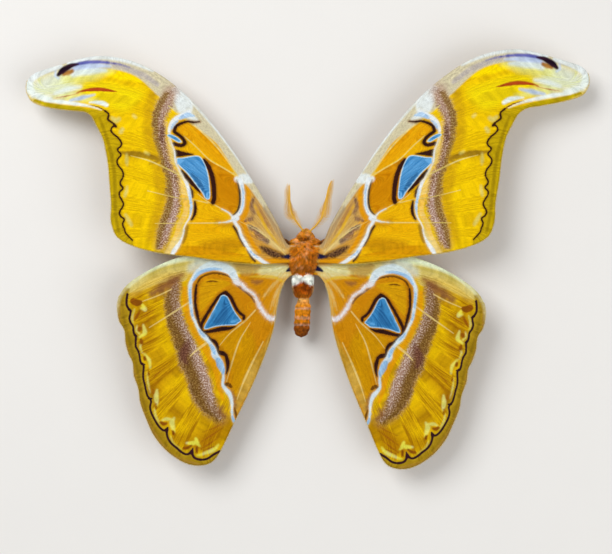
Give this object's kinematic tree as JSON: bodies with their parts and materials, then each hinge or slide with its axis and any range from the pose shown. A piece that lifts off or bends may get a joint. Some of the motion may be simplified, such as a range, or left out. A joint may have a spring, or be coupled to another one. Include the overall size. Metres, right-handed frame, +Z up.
{
  "type": "atlas moth",
  "caption": "Life-size yellow atlas moth standing with its wings spread flat, with feathered antennae, a stout thorax and a narrow abdomen.",
  "frame": {"origin": "on the floor, under the middle of the spread wings' box; the thorax stands over it", "axes": "+Y the way the head points, +X the moth's right side, +Z up"},
  "size_m": [0.2103, 0.1563, 0.0178],
  "materials": {
    "body_fur": "short rust-orange fur",
    "collar_fur": "rust fur with a white collar",
    "abdomen_fur": "close golden-tan fur, banded",
    "eye": "glossy, finely faceted",
    "antenna": "dull ochre, feathered",
    "leg_fur": "brown, covered in short hair",
    "forewing_scales": "powdery yellow scales with brown, white and blue markings",
    "hindwing_scales": "powdery yellow scales with brown, white and blue markings"
  },
  "bodies": {
    "root": {"thorax": "body_fur", "head": "body_fur", "abdomen_base": "collar_fur", "abdomen": "abdomen_fur", "eye_left": "eye", "eye_right": "eye", "antenna_left": "antenna", "antenna_right": "antenna", "foreleg_left": "leg_fur", "foreleg_right": "leg_fur", "midleg_left": "leg_fur", "midleg_right": "leg_fur", "hindleg_left": "leg_fur", "hindleg_right": "leg_fur", "forewing_left": "forewing_scales", "forewing_right": "forewing_scales", "hindwing_left": "hindwing_scales", "hindwing_right": "hindwing_scales"}
  },
  "joints": []
}
